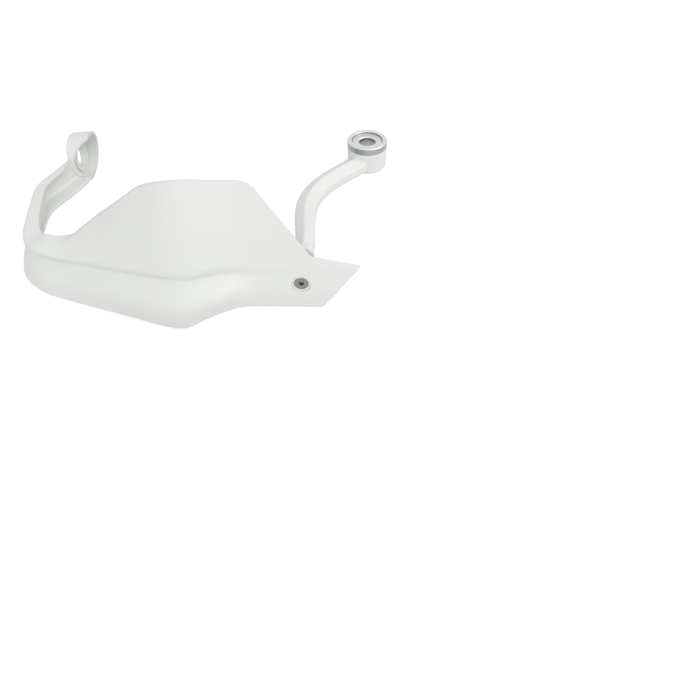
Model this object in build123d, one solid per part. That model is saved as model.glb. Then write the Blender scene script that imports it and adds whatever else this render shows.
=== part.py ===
from build123d import *
import os
from math import cos, radians, sin, tan

# Frame: the origin is on the axis of the bar-end eye, at the inner face of the arm's wall.
# X runs inboard along the handlebar, -Y is forward and Z is up. All sizes are in millimetres.

# Shell: wall, and the lip line in plan, from the wing tip round to the bar-end eye
wall = 3.0
wing_end_x = 284.0
wing_reach = 177.0
wing_root_x = 186.0
chin_x = 134.0
chin_reach = 187.0
elbow_out = 13.5
elbow_reach = 143.0
knee_out = 20.0
knee_reach = 60.0
eye_entry = 24.0
eye_lap = 9.0
root_radius = 90.0
chin_radius = 70.0
elbow_radius = 42.0
knee_radius = 32.0
entry_radius = 30.0

# Shell: section details that every station shares
throat = 7.0
groove_round = 2.2
lip_round = 4.6
sill_round = 4.8
crest_share = 0.6
crest_soft = 0.2
panel_start = 5.0
panel_bow = 6.0
edge_bulge = 0.7
station_count = 32

# Shell: front view of the panel and the wing
gap_x = 35.4
gap_z = 6.0
crown_outer_x = 127.0
crown_inner_x = 195.5
crown_outer_z = 79.0
crown_inner_z = 74.5
crown_outer_radius = 65.0
crown_inner_radius = 16.0
notch_x = 237.0
notch_z = 16.0
notch_radius = 8.0
tip_x = 275.0
tip_z = 8.0
toe_x = 242.0
toe_z = -38.0
margin = 60.0

# Bar-end eye
eye_bore = 18.0
eye_rim_d = 47.0
eye_rim = 3.0
eye_flare = 1.5
eye_round = 2.0
eye_wall = 4.0
eye_sink = 0.8
eye_depth = 11.0
eye_lean = 12.5
eye_boss_d = 29.0
eye_boss_height = 1.2
mouth_start = 23.0
mouth_turn = 41.0
mouth_step = 1.0

# Screw seat in the wing
seat_x = 228.0
seat_z = -9.0
seat_recess = 0.8
seat_spot_d = 15.5
seat_boss_d = 19.0
seat_boss = 4.7
seat_clearance = 0.1
seat_face = wing_reach - seat_recess

# Countersunk screw, and the clip nut pushed over the bracket's foot
screw_d = 6.0
screw_length = 18.0
screw_head_d = 12.0
screw_tip = 0.8
screw_socket = 4.0
screw_socket_depth = 2.2
screw_clearance = 0.3
clip_sheet = 1.0
clip_width = 16.0
clip_tail = 11.0
clip_clearance = 1.0
clip_corner = 2.0
clip_barrel_d = 10.0
clip_barrel = 4.5
thread_clearance = 0.1

# Bracket: foot behind the wing, ridged bar, and eye on the mirror stem
foot_width = 22.0
foot_thick = 5.0
foot_below = 10.0
foot_above = 31.0
foot_corner = 4.0
bar_rise = 14.0
bar_knee_x = 232.0
bar_knee_y = -84.0
bar_knee_radius = 55.0
bar_width = 19.5
bar_neck = 15.0
bar_depth = 13.0
bar_ridge = 4.5
bar_edge = 1.5
bar_stations = 5
bar_root = 3.0
stem_x = 283.0
stem_y = -22.0
stem_eye_d = 36.5
stem_eye_length = 19.0
stem_eye_bore = 22.5
stem_eye_edge = 1.2

# Spacer ring and collar on the bracket's eye
ring_d = 25.6
ring_bore = 20.2
ring_length = 4.0
ring_edge = 0.4
ring_clearance = 0.2
collar_d = 37.0
collar_thick = 6.4
collar_bore = 15.2
collar_recess_d = 28.0
collar_recess = 1.8
collar_edge = 0.7

# Lip line in plan, the names of its runs and bends in order, and key sections along it.
# Each row: run of the line, share along the run, then the section's lip height, sill height,
# hem (the sill's way out), ridge, groove, foot, lean and panel length.
plan = FilletPolyline(
    (wing_end_x, -wing_reach),
    (wing_root_x, -wing_reach),
    (chin_x, -chin_reach),
    (-elbow_out, -elbow_reach),
    (-knee_out, -knee_reach),
    (eye_sink - eye_wall, -eye_entry),
    (eye_sink - eye_wall, -eye_lap),
    radius=[root_radius, chin_radius, elbow_radius, knee_radius, entry_radius],
).edges()
runs = ["wing", "root", "brow", "chin", "side", "elbow", "arm", "knee", "slant", "entry", "lap"]
key_sections = [
    ("wing", 0.00, 4.0, -37.4, -0.3, 1.2, 0.3, 6.5, 7.0, 84.0),
    ("wing", 0.45, 4.5, -37.4, -0.3, 1.2, 0.3, 6.5, 7.0, 86.0),
    ("root", 0.00, 7.5, -36.2, 0.0, 2.4, 0.4, 6.5, 9.0, 88.0),
    ("brow", 0.30, 9.5, -35.3, 1.0, 7.5, 3.0, 6.5, 11.0, 88.0),
    ("chin", 0.15, 6.0, -43.1, 1.5, 9.5, 4.5, 6.5, 12.0, 88.0),
    ("chin", 0.62, 4.6, -52.2, 1.5, 9.8, 5.0, 6.5, 13.0, 88.0),
    ("side", 0.06, 3.2, -54.9, 2.0, 9.0, 5.0, 7.0, 15.0, 88.0),
    ("side", 0.35, 1.3, -51.6, 3.5, 7.0, 5.0, 7.5, 22.0, 70.0),
    ("side", 0.65, 0.0, -48.2, 5.5, 5.5, 5.0, 8.5, 40.0, 47.0),
    ("side", 0.90, -1.2, -44.3, 7.5, 4.8, 5.0, 10.0, 62.0, 22.5),
    ("elbow", 0.20, -0.6, -39.6, 9.5, 4.8, 4.7, 11.0, 71.0, 20.0),
    ("elbow", 0.60, -1.6, -35.2, 11.0, 4.6, 4.0, 12.0, 77.0, 18.0),
    ("elbow", 0.95, 0.6, -32.0, 7.2, 3.0, 2.6, 9.5, 81.0, 15.5),
    ("arm", 0.30, 3.5, -25.0, 3.0, 1.6, 1.2, 6.6, 82.0, 12.5),
    ("arm", 0.83, 7.3, -15.5, 0.4, 0.4, 0.5, 9.8, 83.0, 11.0),
    ("knee", 0.50, 8.2, -13.2, 0.4, 0.4, 0.5, 16.5, 83.0, 10.5),
    ("slant", 0.30, 8.8, -13.0, 0.4, 0.4, 0.5, 17.4, 83.0, 9.5),
    ("entry", 0.40, 9.8, -13.0, 0.4, 0.4, 0.5, 16.0, 83.0, 8.0),
    ("lap", 1.00, 10.5, -13.0, 0.4, 0.4, 0.5, 16.0, 83.0, 7.0),
]


def corner_turn(before, corner, after):
    """Angle in radians between the runs into and out of a corner."""
    return radians((corner - before).get_angle(after - corner))


def offset_chain(points, distance):
    """Points of an open polyline moved sideways, to the left of its direction."""
    moved = []
    for i, point in enumerate(points):
        run_in = (point - points[max(i - 1, 0)]).normalized() if i else (points[1] - point).normalized()
        run_out = (points[i + 1] - point).normalized() if i + 1 < len(points) else run_in
        side_in = Vector(-run_in.Y, run_in.X)
        mitre = (side_in + Vector(-run_out.Y, run_out.X)).normalized()
        moved.append(point + mitre * (distance / mitre.dot(side_in)))
    return moved


def rounded_chain(points, radii, bow_end, bow_tangent):
    """Runs with rounded corners, then the bowed run to the free edge."""
    runs = FilletPolyline(*points, radius=radii)
    return [*runs.edges(), TangentArc(points[-1], bow_end, tangent=bow_tangent).edge()]


def shell_section(lip_z, sill_z, hem, ridge, groove, foot, lean, panel):
    """Wall section: sill flange, ridged band, groove, lip and panel, in outward and upward coordinates."""
    slope = Vector(-sin(radians(lean)), cos(radians(lean)))
    chord_angle = radians(lean + panel_bow / 2)
    end_angle = radians(lean + panel_bow)
    band = lip_z - throat - sill_z
    sill = Vector(hem, sill_z)
    lip = Vector(0, lip_z)
    points = [
        sill - Vector(foot, 0),
        sill,
        Vector(ridge, sill_z + crest_share * band),
        Vector(-groove, lip_z - throat),
        lip,
        lip + slope * panel_start,
    ]
    free_edge = points[-1] + Vector(-sin(chord_angle), cos(chord_angle)) * (panel - panel_start)
    rounds = [sill_round, crest_soft * band, groove_round, lip_round]
    turns = [corner_turn(*points[i:i + 3]) for i in range(len(rounds))]
    radii = [reach / tan(turn / 2) for reach, turn in zip(rounds, turns)]
    outer = rounded_chain(points, radii, free_edge, slope)
    inner_points = offset_chain(points, wall)
    inner_edge = free_edge - Vector(cos(end_angle), sin(end_angle)) * wall
    inner_radii = [radii[0] - wall, radii[1] - wall, radii[2] + wall, radii[3] - wall]
    inner = rounded_chain(inner_points, inner_radii, inner_edge, slope)
    toe_mid = (inner_points[0] + points[0]) / 2 - Vector(edge_bulge, 0)
    toe_cap = ThreePointArc(inner_points[0], toe_mid, points[0]).edge()
    edge_mid = (free_edge + inner_edge) / 2 + Vector(-sin(end_angle), cos(end_angle)) * edge_bulge
    edge_cap = ThreePointArc(free_edge, edge_mid, inner_edge).edge()
    return Face(Wire([*outer, edge_cap, *inner, toe_cap]))


def smooth_value(before, start, end, after, part):
    """Cubic blend between two key values with slopes taken from their neighbours."""
    slope_start = (end - before) / 2
    slope_end = (after - start) / 2
    rise = end - start
    cubic = slope_start + slope_end - 2 * rise
    square = 3 * rise - 2 * slope_start - slope_end
    return start + part * (slope_start + part * (square + part * cubic))


def section_at(distance, places):
    """Section face values at a distance along the lip line."""
    rows = [row[2:] for row in key_sections]
    last = len(rows) - 1
    i = max(k for k in range(last) if places[k] <= distance)
    part = (distance - places[i]) / (places[i + 1] - places[i])
    around = [rows[max(i - 1, 0)], rows[i], rows[i + 1], rows[min(i + 2, last)]]
    return [smooth_value(*values, part) for values in zip(*around)]


def station_plane(distance, starts):
    """Plane square to the lip line: x outward, y up."""
    run = max(k for k in range(len(plan)) if starts[k] <= distance)
    place = min(1.0, (distance - starts[run]) / plan[run].length)
    heading = plan[run].tangent_at(place)
    return Plane(plan[run].position_at(place), x_dir=(-heading.Y, heading.X, 0), z_dir=heading)


def lofted_skin():
    """Wall lofted through even stations along the lip line."""
    starts = [sum(edge.length for edge in plan[:i]) for i in range(len(plan) + 1)]
    places = []
    for run, share, *_ in key_sections:
        i = runs.index(run)
        places.append(starts[i] + share * plan[i].length)
    sections = []
    for i in range(station_count):
        distance = starts[-1] * i / (station_count - 1) * 0.999999
        sections.append(station_plane(distance, starts) * shell_section(*section_at(distance, places)))
    return loft(sections)


def along_x(radius, start, end):
    """Cylinder on the eye's axis between two X places."""
    return Pos((start + end) / 2, 0, 0) * Rot(0, 90, 0) * Cylinder(radius, end - start)


def along_y(radius, start, end, x, z):
    """Cylinder along Y between two Y places."""
    return Pos(x, (start + end) / 2, z) * Rot(90, 0, 0) * Cylinder(radius, end - start)


def front_waste():
    """Everything outside the front outline of the panel and the wing."""
    high = crown_outer_z + margin
    low = toe_z - margin
    far = wing_end_x + margin
    outline = FilletPolyline(
        (gap_x, gap_z),
        (crown_outer_x, crown_outer_z),
        (crown_inner_x, crown_inner_z),
        (notch_x, notch_z),
        (tip_x, tip_z),
        radius=[crown_outer_radius, crown_inner_radius, notch_radius],
    )
    tip_border = Polyline((tip_x, tip_z), (toe_x, toe_z), (toe_x, low), (far, low), (far, high))
    top_border = Polyline((far, high), (0, high), (0, gap_z), (gap_x, gap_z))
    face = Face(Wire([*outline.edges(), *tip_border.edges(), *top_border.edges()]))
    return extrude(Plane.XZ * face, chin_reach + margin)


def head_cone(clearance):
    """Cone of the screw's head, with its wide end at the seat's face."""
    height = (screw_head_d - screw_d) / 2
    cone = Cone(screw_d / 2 + clearance, screw_head_d / 2 + clearance, height)
    return Pos(seat_x, height / 2 - seat_face, seat_z) * Rot(90, 0, 0) * cone


def eye_cup():
    """Flared cup of the bar-end eye: its rim is deeper at the top, and its outer edge is rounded."""
    rim_r = eye_rim_d / 2
    lean = tan(radians(eye_lean))
    depth = eye_depth + rim_r * lean
    cup = Rot(0, 90, 0) * Cone(rim_r - eye_flare, rim_r, eye_wall + depth)
    cup = fillet(cup.edges().sort_by(Axis.X)[0], eye_round)
    rim_plane = Plane((eye_depth, 0, 0), x_dir=(0, 1, 0), z_dir=(1, 0, -lean))
    beyond = Box(eye_rim_d + margin, eye_rim_d + margin, margin, align=(Align.CENTER, Align.CENTER, Align.MIN))
    return Pos((depth - eye_wall) / 2, 0, 0) * cup - rim_plane * beyond


def eye_mouth():
    """Open front of the cup above the arm's lower flange, cut back at a slant in plan."""
    reach = eye_rim_d
    far = mouth_start + reach
    slant = reach / tan(radians(mouth_turn))
    plan_cut = Polyline((0, -far), (reach, -far), (reach, slant - mouth_start), (0, -mouth_start), close=True)
    floor_z = key_sections[-1][3] + wall + mouth_step
    return Pos(0, 0, floor_z) * extrude(make_face(plan_cut), eye_rim_d)


def guard_shell():
    """One moulded piece: panel, wing, arm and bar-end eye."""
    beyond = eye_rim_d
    body = lofted_skin() - front_waste() + eye_cup()
    body -= along_x(eye_rim_d / 2 - eye_rim, 0, beyond)
    body -= eye_mouth()
    body += along_x(eye_boss_d / 2, 0, eye_boss_height)
    body -= along_x(eye_bore / 2, -beyond, beyond)
    body += along_y(seat_boss_d / 2, -seat_face, seat_boss - seat_face, seat_x, seat_z)
    body -= along_y(seat_spot_d / 2, -seat_face - margin, -seat_face, seat_x, seat_z)
    body -= along_y(screw_d / 2 + screw_clearance, -seat_face, -seat_face + margin, seat_x, seat_z)
    return body - head_cone(seat_clearance)


def countersunk_screw():
    """Countersunk screw with a hexagon socket, its head flush with the seat's face."""
    shank = along_y(screw_d / 2, -seat_face, screw_length - seat_face, seat_x, seat_z)
    shank = chamfer(shank.edges().sort_by(Axis.Y)[-1], screw_tip)
    top = Plane((seat_x, -seat_face, seat_z), z_dir=(0, -1, 0))
    hexagon = RegularPolygon(screw_socket / 2, 6, major_radius=False)
    return shank + head_cone(0) - extrude(top * hexagon, -screw_socket_depth)


def clip_nut():
    """Sheet clip bent round the foot's lower edge, with a threaded barrel on its rear leaf."""
    front = seat_boss - seat_face
    span = foot_thick + 2 * clip_sheet
    low = seat_z - foot_below - clip_clearance - clip_sheet
    high = seat_z + clip_tail
    bend = Box(clip_width, span, high - low, align=(Align.CENTER, Align.MIN, Align.MIN))
    bend = fillet(bend.edges().filter_by(Axis.X).group_by(Axis.Z)[0], clip_corner)
    bend = Pos(seat_x, front, low) * bend
    slot = Box(clip_width, foot_thick, high - low, align=(Align.CENTER, Align.MIN, Align.MIN))
    slot = fillet(slot.edges().filter_by(Axis.X).group_by(Axis.Z)[0], clip_corner - clip_sheet)
    bend -= Pos(seat_x, front + clip_sheet, low + clip_sheet) * slot
    bend = fillet(bend.edges().filter_by(Axis.Y).group_by(Axis.Z)[-1], clip_corner)
    back = front + span
    bend += along_y(clip_barrel_d / 2, back, back + clip_barrel, seat_x, seat_z)
    bend -= along_y(screw_d / 2 + screw_clearance, front, back - clip_sheet, seat_x, seat_z)
    return bend - along_y(screw_d / 2 + thread_clearance, front, back + clip_barrel, seat_x, seat_z)


def bar_section(width):
    """Bar section: flat underside, upright sides, and two faces that rise to a ridge."""
    half = width / 2
    top = bar_depth / 2
    shoulder = top - bar_ridge
    outline = Polyline((-half, -top), (half, -top), (half, shoulder), (0, top), (-half, shoulder), close=True)
    face = make_face(outline)
    return fillet(face.vertices(), bar_edge)


def bracket_bar(foot_y):
    """Ridged bar from the foot to the stem eye, widening from its neck."""
    path = FilletPolyline(
        (seat_x, foot_y, bar_rise),
        (bar_knee_x, bar_knee_y, bar_rise),
        (stem_x, stem_y, bar_rise),
        radius=bar_knee_radius,
    )
    sections = []
    for i in range(bar_stations):
        place = i / (bar_stations - 1)
        heading = path.tangent_at(place)
        plane = Plane(path.position_at(place), x_dir=(-heading.Y, heading.X, 0), z_dir=heading)
        width = bar_neck + (bar_width - bar_neck) * sin(radians(90 * place))
        sections.append(plane * bar_section(width))
    return loft(sections)


def mounting_bracket():
    """Cast bracket: flat foot, ridged bar, and eye with a seat for the spacer ring."""
    foot_y = seat_boss - seat_face + clip_sheet
    plate = Plane.XZ * RectangleRounded(foot_width, foot_below + foot_above, foot_corner)
    foot = Pos(seat_x, foot_y, seat_z + (foot_above - foot_below) / 2) * extrude(plate, -foot_thick)
    body = foot + bracket_bar(foot_y)
    stem = Pos(stem_x, stem_y, bar_rise)
    eye = Cylinder(stem_eye_d / 2, stem_eye_length)
    eye = fillet(eye.edges(), stem_eye_edge)
    body += stem * eye
    body -= stem * Cylinder(stem_eye_bore / 2, stem_eye_length)
    ring_seat = Cylinder(ring_d / 2 + ring_clearance, ring_length)
    body -= stem * Pos(0, 0, (stem_eye_length - ring_length) / 2) * ring_seat
    return body - along_y(screw_d / 2 + screw_clearance, foot_y, foot_y + foot_thick, seat_x, seat_z)


def spacer_ring():
    """Thin ring let into the top of the bracket's eye."""
    ring = Cylinder(ring_d / 2, ring_length) - Cylinder(ring_bore / 2, ring_length)
    ring = chamfer(ring.edges().filter_by(GeomType.CIRCLE), ring_edge)
    return Pos(stem_x, stem_y, bar_rise + (stem_eye_length - ring_length) / 2) * ring


def seat_collar():
    """Turned collar on the eye's top face, its recess upwards."""
    collar = Cylinder(collar_d / 2, collar_thick)
    collar -= Pos(0, 0, collar_thick - collar_recess) * Cylinder(collar_recess_d / 2, collar_thick)
    collar -= Cylinder(collar_bore / 2, collar_thick)
    collar = chamfer(collar.edges().filter_by(GeomType.CIRCLE), collar_edge)
    return Pos(stem_x, stem_y, bar_rise + (stem_eye_length + collar_thick) / 2) * collar


os.makedirs("parts", exist_ok=True)
for piece in (guard_shell, mounting_bracket, countersunk_screw, clip_nut, spacer_ring, seat_collar):
    export_step(piece(), f"parts/{piece.__name__}.step")
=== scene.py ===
from math import radians

import bmesh
import bpy
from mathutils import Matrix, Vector


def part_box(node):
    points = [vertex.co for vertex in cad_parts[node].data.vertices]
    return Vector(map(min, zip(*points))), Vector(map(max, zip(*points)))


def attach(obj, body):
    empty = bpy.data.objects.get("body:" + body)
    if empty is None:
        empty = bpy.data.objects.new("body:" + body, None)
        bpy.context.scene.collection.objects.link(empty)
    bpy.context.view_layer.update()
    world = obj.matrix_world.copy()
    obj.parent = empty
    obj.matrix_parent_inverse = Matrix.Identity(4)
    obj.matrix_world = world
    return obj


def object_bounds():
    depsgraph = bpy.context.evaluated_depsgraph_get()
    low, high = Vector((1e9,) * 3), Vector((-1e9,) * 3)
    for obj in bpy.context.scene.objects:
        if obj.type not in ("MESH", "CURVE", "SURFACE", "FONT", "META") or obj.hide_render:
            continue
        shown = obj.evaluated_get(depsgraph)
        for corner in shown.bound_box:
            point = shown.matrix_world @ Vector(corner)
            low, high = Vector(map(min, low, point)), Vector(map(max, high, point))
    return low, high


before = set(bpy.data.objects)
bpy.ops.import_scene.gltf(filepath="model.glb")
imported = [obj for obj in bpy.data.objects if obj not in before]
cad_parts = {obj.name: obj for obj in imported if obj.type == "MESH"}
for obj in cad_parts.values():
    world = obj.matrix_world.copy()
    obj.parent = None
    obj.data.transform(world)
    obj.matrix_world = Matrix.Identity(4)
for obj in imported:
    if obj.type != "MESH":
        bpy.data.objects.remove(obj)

cad_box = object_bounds()

WHITE = (1.0, 1.0, 1.0, 1.0)
BLACK = (0.0, 0.0, 0.0, 1.0)

# Camera, at the photograph's viewing angle: a 700 pixel square frame
FRAME_PIXELS = 700
FOCAL_PIXELS = 573
SENSOR = 36.0
CAMERA_PLACE = (0.267, -0.5174, 0.3025)
CAMERA_TILT = 41.0
CLIP_START = 0.01

# Stage: a floor, a sky with a bright side, and lamps as place, size and power
FLOOR_SIZE = 8.0
FLOOR_COLOUR = (0.70, 0.70, 0.70, 1.0)
FLOOR_GLOW = 0.50
SKY_BRIGHT = (0.90, 0.90, 0.90, 1.0)
SKY_DIM = (0.50, 0.50, 0.50, 1.0)
SKY_SIDE = (-0.05, -0.99, 0.08)
SEEN_RAYS = ("Is Camera Ray", "Is Glossy Ray", "Is Transmission Ray")
LIGHT_TARGET = (0.12, -0.13, 0.0)
FRONT_LAMP = ((0.45, -1.25, 0.75), 0.8, 4.2)
SIDE_LAMP = ((0.80, -0.05, 0.75), 0.8, 2.2)

# Corners of the web between the arm's rim and the panel's rim
WEB_CORNERS = [
    (0.0290, -0.1336, 0.0050),
    (0.0446, -0.1385, 0.01285),
    (0.0446, -0.1428, 0.01285),
    (0.0290, -0.1408, 0.0050),
    (0.0315, -0.1429, 0.0059),
    (0.0356, -0.1392, 0.0055),
    (0.0356, -0.1461, 0.0056),
]

# Finishes: linear colours, pattern scales per metre, heights and radii in metres.
# SHARE is how far a pattern tints the colour, ROUGHENS what it adds to the roughness.
PLASTIC_COLOUR = (0.80, 0.81, 0.79, 1.0)
PLASTIC_COOL = (0.77, 0.80, 0.78, 1.0)
PLASTIC_WARM = (0.81, 0.80, 0.77, 1.0)
PLASTIC_IOR = 1.47
PLASTIC_SPECULAR = 0.4
PLASTIC_ROUGHNESS = 0.40
GRAIN_ROUGHENS = 0.08
DRIFT_ROUGHENS = 0.06
DRIFT_SCALE = 22.0
CLOUD_SCALE = 9.0
CLOUD_SHARE = 0.5
GRAIN_SCALE = 2600.0
GRAIN_DETAIL = 3.0
GRAIN_HEIGHT = 0.00003
EDGE_RADIUS = 0.0009
EDGE_SAMPLES = 8

TURNED_COLOUR = (0.76, 0.77, 0.77, 1.0)
TURNED_MARK = (0.62, 0.63, 0.63, 1.0)
# Near-black colour painted as shade into the collar's bore, recess corner and side wall
TURNED_PAINTED_SHADE = (0.22, 0.225, 0.225, 1.0)
TURNED_ROUGHNESS = 0.32
SCREW_COLOUR = (0.30, 0.29, 0.28, 1.0)
SCREW_MARK = (0.20, 0.19, 0.18, 1.0)
SCREW_ROUGHNESS = 0.30
MARK_SCALE = 3800.0
MARK_DETAIL = 2.0
MARK_SHARE = 0.4
MARK_ROUGHENS = 0.12
RING_SCALE = 1100.0
RING_DETAIL = 1.0
RING_SHARE = 0.4
TURNED_HAZE_SCALE = 160.0
TURNED_HAZE_SHARE = 0.2
TURNED_HAZE_ROUGHENS = 0.06
ROUND_Z = (1.0, 1.0, 0.0)
ROUND_Y = (1.0, 0.0, 1.0)

# Painted shade in the collar's bore, recess corner and side wall, from radius to radius, and how
# dark each is painted
COLLAR_PAINTED_SHADE = [
    (0.0, 0.0077, 0.55),
    (0.0135, 0.0142, 1.0),
    (0.01835, 0.02, 0.70),
]

CLIP_COLOUR = (0.27, 0.27, 0.26, 1.0)
CLIP_MARK = (0.18, 0.175, 0.17, 1.0)
CLIP_ROUGHNESS = 0.34
LINE_SCALE = 2600.0
LINE_STRETCH = (1.0, 1.0, 0.06)
LINE_SHARE = 0.6
CLIP_HAZE_SCALE = 220.0
CLIP_HAZE_SHARE = 0.4
CLIP_HAZE_ROUGHENS = 0.16
MARK_HEIGHT = 0.00002


class Signal:
    """A shader socket that arithmetic extends with Math nodes."""

    def __init__(self, shading, socket):
        self.shading = shading
        self.socket = socket

    def maths(self, operation, other):
        return self.shading.node("Math", {"operation": operation}, {0: self, 1: other})

    def __add__(self, other):
        return self.maths("ADD", other)

    def __mul__(self, other):
        return self.maths("MULTIPLY", other)

    def __gt__(self, other):
        return self.maths("GREATER_THAN", other)

    def __lt__(self, other):
        return self.maths("LESS_THAN", other)

    __radd__ = __add__
    __rmul__ = __mul__


class Shading:
    """A node tree with one surface, and the nodes that feed it."""

    def __init__(self, owner, surface):
        owner.use_nodes = True
        self.tree = owner.node_tree
        self.surface = self.tree.nodes[surface]

    def node(self, kind, settings, inputs, output=0):
        """Add one node: its settings first, then the values or links of its sockets."""
        made = self.tree.nodes.new("ShaderNode" + kind)
        for setting, value in settings.items():
            setattr(made, setting, value)
        for socket, value in inputs.items():
            self.feed(made.inputs[socket], value)
        return Signal(self, made.outputs[output])

    def feed(self, socket, value):
        if isinstance(value, Signal):
            self.tree.links.new(value.socket, socket)
        else:
            socket.default_value = value

    def set(self, socket, value):
        self.feed(self.surface.inputs[socket], value)

    def blend(self, share, first, second):
        """Colour between two others."""
        inputs = {0: share, 6: first, 7: second}
        return self.node("Mix", {"data_type": "RGBA"}, inputs, 2)

    def seen(self):
        """One for what the camera sees straight, mirrored or through something clear."""
        straight, mirrored, through = (self.node("LightPath", {}, {}, ray) for ray in SEEN_RAYS)
        return straight + mirrored + through


class Finish(Shading):
    """A material with one Principled surface."""

    def __init__(self, name, **constants):
        self.material = bpy.data.materials.new(name)
        super().__init__(self.material, "Principled BSDF")
        for socket, value in constants.items():
            self.set(socket.replace("_", " "), value)

    def place(self):
        """Object coordinates, in metres."""
        return self.node("TexCoord", {}, {}, "Object")

    def noise(self, where, scale, detail=2.0):
        return self.node("TexNoise", {}, {"Vector": where, "Scale": scale, "Detail": detail}, "Fac")

    def rings(self, radius, scale, detail):
        """Noise that changes with the radius alone."""
        inputs = {"W": radius, "Scale": scale, "Detail": detail}
        return self.node("TexNoise", {"noise_dimensions": "1D"}, inputs, "Fac")

    def relief(self, height, distance, edge=0.0):
        """Small bumps, with their height in metres, over edges softened to a radius."""
        inputs = {"Height": height, "Distance": distance, "Strength": 1.0}
        if edge:
            inputs["Normal"] = self.node("Bevel", {"samples": EDGE_SAMPLES}, {"Radius": edge})
        self.set("Normal", self.node("Bump", {}, inputs))


def moulded_plastic(name):
    """Satin off-white moulding, with a faint drift of tint and a fine mould grain."""
    finish = Finish(name, Metallic=0.0, IOR=PLASTIC_IOR, Specular_IOR_Level=PLASTIC_SPECULAR)
    where = finish.place()
    drift = finish.noise(where, DRIFT_SCALE)
    cloud = finish.noise(where, CLOUD_SCALE)
    tint = finish.blend(drift, PLASTIC_COOL, PLASTIC_COLOUR)
    finish.set("Base Color", finish.blend(cloud * CLOUD_SHARE, tint, PLASTIC_WARM))
    grain = finish.noise(where, GRAIN_SCALE, GRAIN_DETAIL)
    finish.set("Roughness", PLASTIC_ROUGHNESS + grain * GRAIN_ROUGHENS + drift * DRIFT_ROUGHENS)
    finish.relief(grain, GRAIN_HEIGHT, EDGE_RADIUS)
    return finish.material


def turned_metal(name, colour, mark, roughness, shift, turned, painted_shade_bands=()):
    """Metal with turning marks round an axis, which a shift centres, with shade painted darker at
    some radii.
    """
    finish = Finish(name, Metallic=1.0)
    where = finish.place()
    centring = {"Vector": where, "Location": shift}
    centred = finish.node("Mapping", {"vector_type": "POINT"}, centring)
    flat = finish.node("VectorMath", {"operation": "MULTIPLY"}, {0: centred, 1: turned})
    radius = finish.node("VectorMath", {"operation": "LENGTH"}, {0: flat}, "Value")
    marks = finish.rings(radius, MARK_SCALE, MARK_DETAIL)
    rings = finish.rings(radius, RING_SCALE, RING_DETAIL)
    haze = finish.noise(where, TURNED_HAZE_SCALE)
    pale = marks * MARK_SHARE + rings * RING_SHARE + haze * TURNED_HAZE_SHARE
    metal = finish.blend(pale, mark, colour)
    # Painted shade: bands at the given radii are blended towards a dark colour
    for inner, outer, share in painted_shade_bands:
        metal = finish.blend((radius > inner) * (radius < outer) * share, metal, TURNED_PAINTED_SHADE)
    finish.set("Base Color", metal)
    rough = roughness + marks * MARK_ROUGHENS + haze * TURNED_HAZE_ROUGHENS
    finish.set("Roughness", rough)
    finish.relief(marks, MARK_HEIGHT)
    return finish.material


def rolled_steel(name, colour, mark):
    """Dull rolled sheet with fine lines along it."""
    finish = Finish(name, Metallic=1.0)
    where = finish.place()
    stretch = {"Vector": where, "Scale": LINE_STRETCH}
    drawn = finish.node("Mapping", {"vector_type": "POINT"}, stretch)
    lines = finish.noise(drawn, LINE_SCALE)
    haze = finish.noise(where, CLIP_HAZE_SCALE)
    pale = lines * LINE_SHARE + haze * CLIP_HAZE_SHARE
    finish.set("Base Color", finish.blend(pale, mark, colour))
    finish.set("Roughness", CLIP_ROUGHNESS + haze * CLIP_HAZE_ROUGHENS)
    finish.relief(lines, MARK_HEIGHT)
    return finish.material


def add_piece(name, shape, material):
    """Make a finished bmesh an object at the origin."""
    mesh = bpy.data.meshes.new(name)
    shape.to_mesh(mesh)
    shape.free()
    mesh.materials.append(material)
    piece = bpy.data.objects.new(name, mesh)
    bpy.context.scene.collection.objects.link(piece)
    return piece


def corner_web(plastic):
    """Moulded web that eases the corner where the arm's rim turns up into the panel's rim."""
    shape = bmesh.new()
    for corner in WEB_CORNERS:
        shape.verts.new(corner)
    bmesh.ops.convex_hull(shape, input=shape.verts[:])
    bmesh.ops.recalc_face_normals(shape, faces=shape.faces[:])
    piece = add_piece("corner_web", shape, plastic)
    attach(piece, "root")


def dress(node, material):
    """Give a CAD node its finish."""
    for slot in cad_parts[node].material_slots:
        slot.material = material


def centring_shift(node):
    """Shift that brings the middle of a node's box to the origin."""
    low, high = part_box(node)
    return tuple(-(a + b) / 2 for a, b in zip(low, high))


def dress_nodes():
    """Give the CAD nodes their finishes, and the shell its web."""
    plastic = moulded_plastic("guard_plastic")
    dress("guard_shell", plastic)
    corner_web(plastic)
    dress("mounting_bracket", moulded_plastic("bracket_plastic"))
    turned = turned_metal("turned_metal", TURNED_COLOUR, TURNED_MARK, TURNED_ROUGHNESS,
                          centring_shift("seat_collar"), ROUND_Z, COLLAR_PAINTED_SHADE)
    dress("seat_collar", turned)
    dress("spacer_ring", turned)
    steel = turned_metal("screw_steel", SCREW_COLOUR, SCREW_MARK, SCREW_ROUGHNESS,
                         centring_shift("countersunk_screw"), ROUND_Y)
    dress("countersunk_screw", steel)
    dress("clip_nut", rolled_steel("clip_steel", CLIP_COLOUR, CLIP_MARK))


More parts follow.
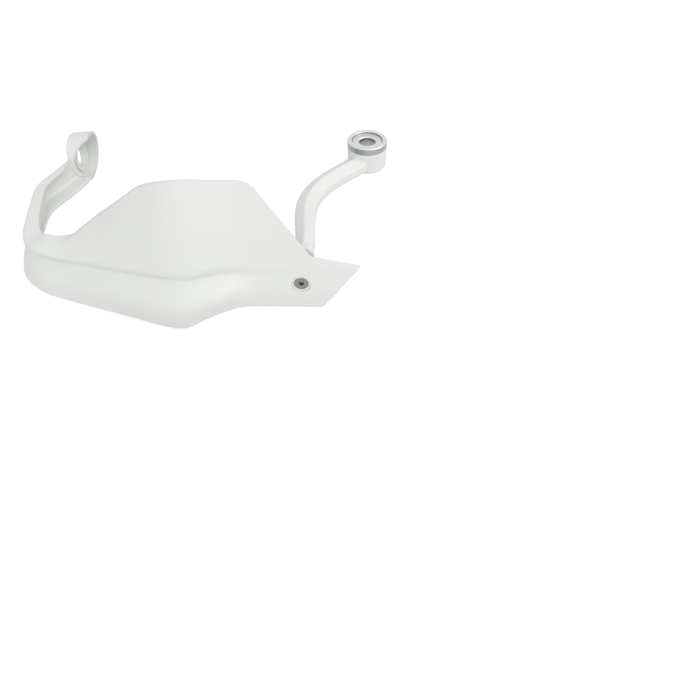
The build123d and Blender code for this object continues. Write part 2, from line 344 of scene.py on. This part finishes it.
def floor():
    """Pale floor that keeps the object's shadow, with a glow that lights nothing else."""
    shape = bmesh.new()
    bmesh.ops.create_grid(shape, x_segments=1, y_segments=1, size=FLOOR_SIZE / 2)
    bmesh.ops.translate(shape, verts=shape.verts, vec=(0, 0, cad_box[0][2]))
    finish = Finish("floor_white", Roughness=1.0, Base_Color=FLOOR_COLOUR,
                    Specular_IOR_Level=0.0, Emission_Strength=1.0)
    finish.set("Emission Color", finish.blend(finish.seen() * FLOOR_GLOW, BLACK, WHITE))
    add_piece("floor", shape, finish.material)


def lamp(name, place, size, power):
    """Round soft lamp aimed at the object's middle."""
    light = bpy.data.lights.new(name, "AREA")
    light.shape = "DISK"
    light.size = size
    light.energy = power
    item = bpy.data.objects.new(name, light)
    item.location = place
    aim = Vector(LIGHT_TARGET) - Vector(place)
    item.rotation_euler = aim.to_track_quat("-Z", "Y").to_euler()
    bpy.context.scene.collection.objects.link(item)


def studio():
    """Soft light from all round, brighter in front, with a large soft lamp in front and inboard."""
    scene = bpy.context.scene
    scene.view_settings.view_transform = "Standard"
    scene.world = bpy.data.worlds.new("studio")
    sky = Shading(scene.world, "Background")
    where = sky.node("TexCoord", {}, {}, "Generated")
    turn = sky.node("VectorMath", {"operation": "DOT_PRODUCT"}, {0: where, 1: SKY_SIDE}, "Value")
    facing = turn * 0.5 + 0.5  # from 0 behind to 1 in front
    light = sky.blend(facing, SKY_DIM, SKY_BRIGHT)
    sky.set("Color", sky.blend(sky.seen(), light, WHITE))
    lamp("front_lamp", *FRONT_LAMP)
    lamp("side_lamp", *SIDE_LAMP)


def camera():
    """Camera at the photograph's viewing angle."""
    lens = bpy.data.cameras.new("camera")
    lens.sensor_width = SENSOR
    lens.lens = SENSOR * FOCAL_PIXELS / FRAME_PIXELS
    lens.clip_start = CLIP_START
    item = bpy.data.objects.new("camera", lens)
    item.location = CAMERA_PLACE
    item.rotation_euler = (radians(CAMERA_TILT), 0, 0)
    bpy.context.scene.collection.objects.link(item)
    bpy.context.scene.camera = item


dress_nodes()
floor()
studio()
camera()
